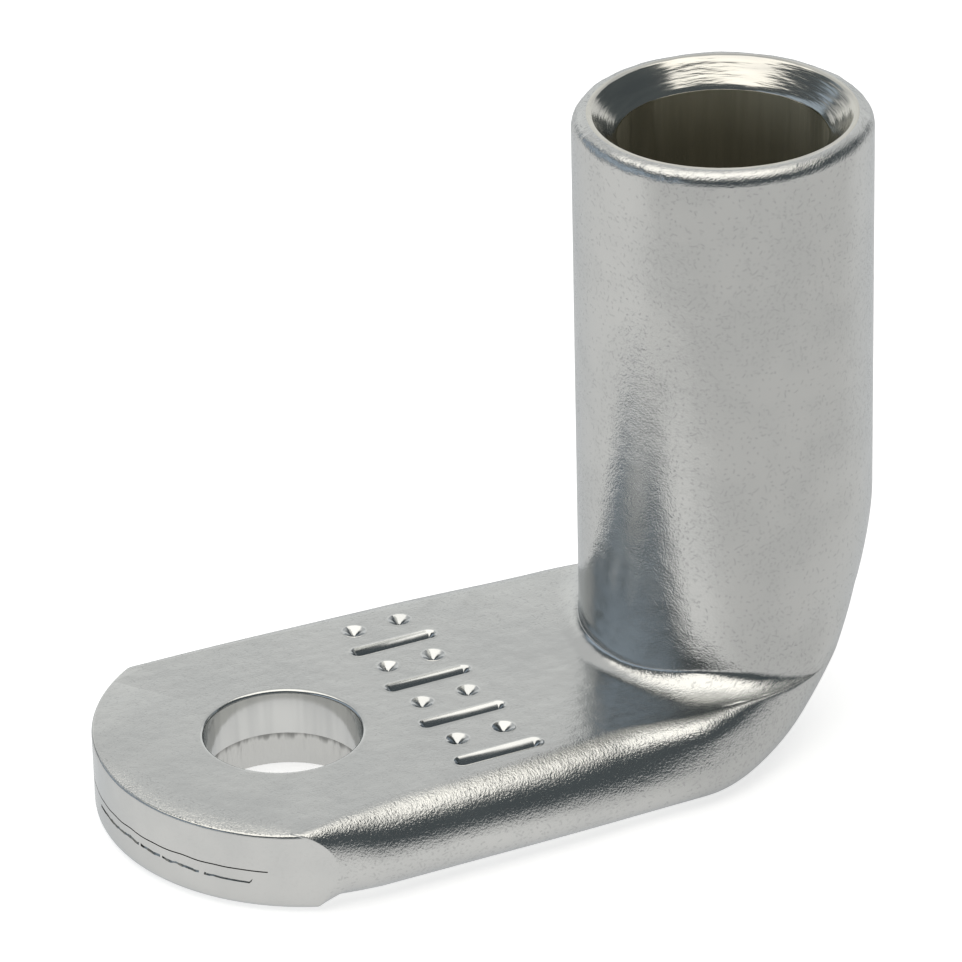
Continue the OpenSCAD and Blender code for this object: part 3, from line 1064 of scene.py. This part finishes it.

# Floor: a white sheet. What the metal mirrors of it is painted reflection: a glow seen only in reflections, brighter
# close to the lug and darker in front of it, over a darker paint that shows less of the lug's shadow there
sheet = {
    "seen": 0.62,
    "mirrored": 0.68,
    # the rest is painted reflection: the glow the metal mirrors close to the lug, and further off, in front of it and
    # level with it
    "middle": (-2 / metre, -4 / metre, 0),
    "reach": (9 / metre, 18 / metre),
    "further": (0.45, 0.61),  # in front of the lug and level with it
    "frontReach": (-16 / metre, 4 / metre),
}
bpy.ops.object.select_all(action="DESELECT")
bpy.ops.mesh.primitive_plane_add(size=4, location=(0, 0, 0))
floor = bpy.context.object
floor.name = "floor"
floorPaint = bpy.data.materials.new("paleFloor")
floorPaint.use_nodes = True
tree = floorPaint.node_tree
tree.nodes.clear()
rays = addNode(tree, "ShaderNodeLightPath")
mirrored = calc(tree, "MAXIMUM", rays.outputs["Is Glossy Ray"], rays.outputs["Is Transmission Ray"])
# painted reflection: in reflections the sheet's paint is darker, so its shadow shows less
shade = blendColour(tree, mirrored, (0.86, 0.86, 0.86, 1), (0.3, 0.3, 0.3, 1))
paint = addNode(tree, "ShaderNodeBsdfDiffuse", {"Color": shade})
where = addNode(tree, "ShaderNodeTexCoord").outputs["Object"]
away = addNode(tree, "ShaderNodeVectorMath", {0: where, 1: sheet["middle"]}, operation="DISTANCE").outputs["Value"]
front = addNode(tree, "ShaderNodeSeparateXYZ", {0: where}).outputs["Y"]
# painted reflection: the mirrored glow is darker in front of the lug and brighter close to it
further = ramp(tree, front, *sheet["frontReach"], *sheet["further"])
close = ramp(tree, away, *reversed(sheet["reach"]))
gain = calc(tree, "MULTIPLY", calc(tree, "SUBTRACT", sheet["mirrored"], further), close)
paintedReflectionGlow = calc(tree, "ADD", further, gain)
seen = calc(tree, "MULTIPLY", rays.outputs["Is Camera Ray"], sheet["seen"])
seen = calc(tree, "ADD", seen, calc(tree, "MULTIPLY", mirrored, paintedReflectionGlow))
glow = addNode(tree, "ShaderNodeEmission", {"Color": white, "Strength": seen})
both = addNode(tree, "ShaderNodeAddShader", {0: paint.outputs[0], 1: glow.outputs[0]})
out = addNode(tree, "ShaderNodeOutputMaterial", {"Surface": both.outputs[0]})
floor.data.materials.append(floorPaint)

# Light: a studio of soft panels round a slate room
panelGroup, groupIn, groupOut = makeGroup(
    "softPanel",
    [("Ray", "NodeSocketVector", None), ("Turn", "NodeSocketFloat", 0.0), ("Tilt", "NodeSocketFloat", 0.0),
     ("Aside", "NodeSocketFloat", 0.0), ("Wide", "NodeSocketFloat", 0.5), ("High", "NodeSocketFloat", 0.5),
     ("Soft", "NodeSocketFloat", 0.1)],
    [("Mask", "NodeSocketFloat")],
)
panelInputs = groupIn.outputs
back = calc(panelGroup, "MULTIPLY", panelInputs["Turn"], -1.0)
turned = addNode(panelGroup, "ShaderNodeVectorRotate", {"Vector": panelInputs["Ray"], "Angle": back}, rotation_type="Z_AXIS")
level = addNode(panelGroup, "ShaderNodeVectorRotate", {"Vector": turned.outputs[0], "Angle": panelInputs["Tilt"]}, rotation_type="Y_AXIS")
parts = addNode(panelGroup, "ShaderNodeSeparateXYZ", {0: level.outputs[0]})
ahead = calc(panelGroup, "MAXIMUM", parts.outputs["X"], 0.02)
masks = []
for part, size in (("Y", "Wide"), ("Z", "High")):
    off = calc(panelGroup, "DIVIDE", parts.outputs[part], ahead)
    if part == "Y":
        off = calc(panelGroup, "SUBTRACT", off, panelInputs["Aside"])
    off = calc(panelGroup, "ABSOLUTE", off)
    inner = calc(panelGroup, "SUBTRACT", panelInputs[size], panelInputs["Soft"])
    outer = calc(panelGroup, "ADD", panelInputs[size], panelInputs["Soft"])
    masks.append(ramp(panelGroup, off, outer, inner))
facing = ramp(panelGroup, parts.outputs["X"], 0.0, 0.1)
mask = calc(panelGroup, "MULTIPLY", calc(panelGroup, "MULTIPLY", masks[0], masks[1]), facing)
panelGroup.links.new(mask, groupOut.inputs["Mask"])

studio = {
    "room": (0.085, 0.1, 0.108, 1),
    "horizon": (0.62, 0.63, 0.63, 1),
}
# turn, tilt, aside, half width, half height, softness, colour
panels = {
    "overhead": (80, 83, 0.07, 0.65, 0.68, 0.06, (1.7, 1.66, 1.57, 1)),
    "sweepUpper": (66, 40, 0.05, 0.8, 0.45, 0.12, (0.66, 0.67, 0.67, 1)),
    "sweep": (66, 10, -0.08, 0.75, 0.33, 0.12, (0.94, 0.95, 0.94, 1)),
    "leftCard": (160, 24, 0, 0.92, 0.17, 0.08, (0.46, 0.55, 0.65, 1)),
}

world = bpy.context.scene.world or bpy.data.worlds.new("studio")
bpy.context.scene.world = world
world.use_nodes = True
tree = world.node_tree
tree.nodes.clear()
ray = addNode(tree, "ShaderNodeTexCoord").outputs["Generated"]
rise = addNode(tree, "ShaderNodeSeparateXYZ", {0: ray}).outputs["Z"]
colour = blendColour(tree, ramp(tree, rise, 0.02, 0.16), studio["horizon"], studio["room"])
for name, (turn, tilt, aside, wide, high, soft, shade) in panels.items():
    values = {"Ray": ray, "Turn": math.radians(turn), "Tilt": math.radians(tilt), "Aside": aside}
    values.update({"Wide": wide, "High": high, "Soft": soft})
    panel = addNode(tree, "ShaderNodeGroup", node_tree=panelGroup)
    for key, value in values.items():
        if key == "Ray":
            tree.links.new(value, panel.inputs[key])
        else:
            panel.inputs[key].default_value = value
    colour = blendColour(tree, panel.outputs["Mask"], colour, shade)
rays = addNode(tree, "ShaderNodeLightPath")
colour = blendColour(tree, rays.outputs["Is Camera Ray"], colour, white)
sky = addNode(tree, "ShaderNodeBackground", {"Color": colour, "Strength": 1.0})
addNode(tree, "ShaderNodeOutputWorld", {"Surface": sky.outputs[0]})

# Camera
view = {
    "azimuth": -25.107,
    "elevation": 28.329,
    "roll": -1.401,
    "distance": 219.2,
    "target": (7.507, 0, 10.478),
    "focal": 6611.1,  # in pixels of a picture 962 wide
    "sensor": 36,
}
pictureWide = 962
azimuth, elevation, roll = (math.radians(view[k]) for k in ("azimuth", "elevation", "roll"))
back = Vector((math.sin(azimuth) * math.cos(elevation), -math.cos(azimuth) * math.cos(elevation), math.sin(elevation)))
right = (-back).cross(Vector((0, 0, 1))).normalized()
up = back.cross(right)
tiltedRight = right * math.cos(roll) + up * math.sin(roll)
tiltedUp = up * math.cos(roll) - right * math.sin(roll)
cameraData = bpy.data.cameras.new("camera")
cameraData.sensor_width = view["sensor"]
cameraData.lens = view["focal"] / pictureWide * view["sensor"]
cameraData.clip_start = 0.01
camera = bpy.data.objects.new("camera", cameraData)
bpy.context.scene.collection.objects.link(camera)
turnTo = Matrix((tiltedRight, tiltedUp, back)).transposed().to_4x4()
camera.matrix_world = Matrix.Translation((Vector(view["target"]) + back * view["distance"]) / metre) @ turnTo
bpy.context.scene.camera = camera
bpy.context.scene.view_settings.view_transform = "Standard"
